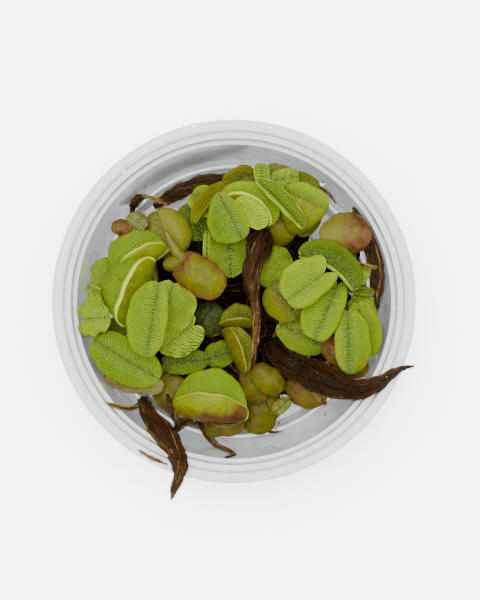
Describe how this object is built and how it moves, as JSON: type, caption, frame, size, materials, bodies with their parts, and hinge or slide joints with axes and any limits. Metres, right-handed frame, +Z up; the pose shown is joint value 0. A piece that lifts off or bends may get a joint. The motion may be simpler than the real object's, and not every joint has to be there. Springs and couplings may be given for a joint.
{
  "type": "water spangles in a clear cup",
  "caption": "Tangled clump of floating ferns with paired folded leaves, runners and dark root bundles, held in a shallow round clear plastic cup.",
  "frame": {"origin": "centre of the cup's flat underside, where it rests", "axes": "+Z up along the cup's axis; seen from above with +Y away from the viewer, the largest pair of bright leaves is at -X"},
  "size_m": [0.075, 0.0786, 0.0315],
  "materials": {
    "cup": "clear, polished",
    "bright_leaf": "velvety, ribbed, pale margin",
    "dark_leaf": "velvety, ribbed",
    "olive_leaf": "smooth, wet",
    "brown_leaf": "smooth, wet",
    "root": "stringy, wet",
    "stem": "smooth"
  },
  "bodies": {
    "root": {"cup": "cup", "left_leaf_1": "bright_leaf", "left_leaf_2": "bright_leaf", "left_leaf_3": "bright_leaf", "left_leaf_4": "bright_leaf", "left_leaf_5": "bright_leaf", "left_leaf_6": "bright_leaf", "left_leaf_7": "bright_leaf", "left_leaf_8": "bright_leaf", "left_leaf_9": "brown_leaf", "back_leaf_1": "olive_leaf", "back_leaf_2": "bright_leaf", "back_leaf_3": "dark_leaf", "back_leaf_4": "olive_leaf", "top_leaf_1": "bright_leaf", "top_leaf_2": "bright_leaf", "top_leaf_3": "bright_leaf", "top_leaf_4": "dark_leaf", "top_leaf_5": "bright_leaf", "top_leaf_6": "olive_leaf", "top_leaf_7": "olive_leaf", "top_leaf_8": "olive_leaf", "middle_leaf_1": "bright_leaf", "middle_leaf_2": "olive_leaf", "middle_leaf_3": "dark_leaf", "middle_leaf_4": "olive_leaf", "middle_leaf_5": "olive_leaf", "middle_leaf_6": "dark_leaf", "middle_leaf_7": "dark_leaf", "front_leaf_1": "bright_leaf", "front_leaf_2": "bright_leaf", "front_leaf_3": "olive_leaf", "front_leaf_4": "olive_leaf", "front_leaf_5": "olive_leaf", "front_leaf_6": "olive_leaf", "front_leaf_7": "brown_leaf", "front_leaf_8": "dark_leaf", "right_leaf_1": "bright_leaf", "right_leaf_2": "bright_leaf", "right_leaf_3": "bright_leaf", "right_leaf_4": "bright_leaf", "right_leaf_5": "olive_leaf", "right_leaf_6": "bright_leaf", "right_leaf_7": "dark_leaf", "right_leaf_8": "brown_leaf", "right_leaf_9": "bright_leaf", "right_leaf_10": "brown_leaf", "middle_root": "root", "right_root": "root", "front_root": "root", "back_root": "root", "side_root": "root", "left_hanging_root": "root", "right_hanging_root": "root", "middle_hanging_root": "root", "left_stem": "stem", "back_stem": "stem", "middle_stem": "stem", "front_stem": "stem", "right_stem": "stem"}
  },
  "joints": []
}
